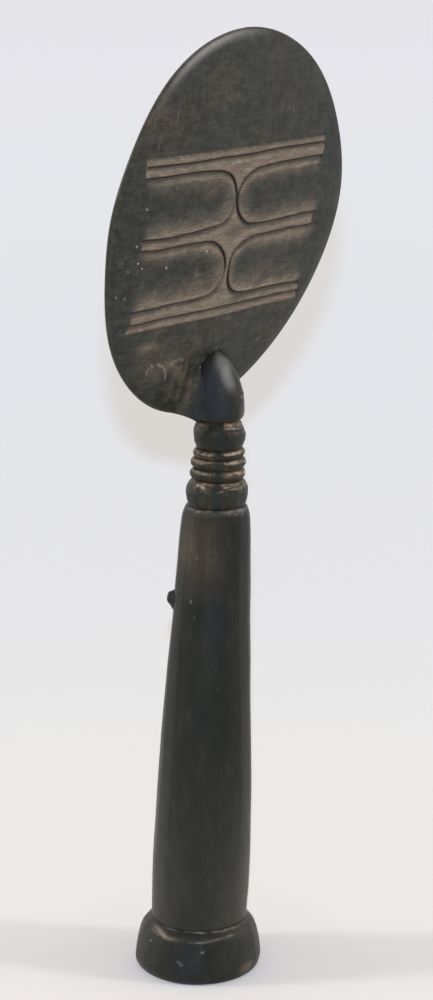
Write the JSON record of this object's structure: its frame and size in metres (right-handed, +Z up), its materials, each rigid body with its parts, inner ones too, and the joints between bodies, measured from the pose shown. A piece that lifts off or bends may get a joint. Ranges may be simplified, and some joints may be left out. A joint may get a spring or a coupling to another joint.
{
  "type": "akuaba figure",
  "caption": "Dark carved wooden akuaba figure with a leaning oval disc head, a ringed neck, a tapering round torso and a flared foot to stand on.",
  "frame": {"origin": "middle of the foot's flat underside", "axes": "+Z up along the figure's height, -Y the way the face looks, +Y the carved back of the head, +X the figure's left-hand side"},
  "size_m": [0.1096, 0.0472, 0.3301],
  "materials": {
    "body_wood": "black-stained hand-carved wood, satin from handling",
    "neck_wood": "black-stained wood, worn to tan on the rings' upper edges",
    "disc_wood": "charcoal-stained wood, matt, with taupe worn strips in the carved panel",
    "face_wood": "charcoal-stained wood, satin on the raised features"
  },
  "bodies": {
    "root": {"foot": "body_wood", "torso": "body_wood", "left_breast": "body_wood", "right_breast": "body_wood", "lower_neck_bead": "neck_wood", "neck_ring_lower": "neck_wood", "neck_ring_middle": "neck_wood", "neck_ring_upper": "neck_wood", "upper_neck_bead": "neck_wood", "nape_boss": "body_wood", "head_disc": "disc_wood", "brow_and_nose": "face_wood", "left_eye": "face_wood", "right_eye": "face_wood", "mouth": "face_wood"}
  },
  "joints": []
}
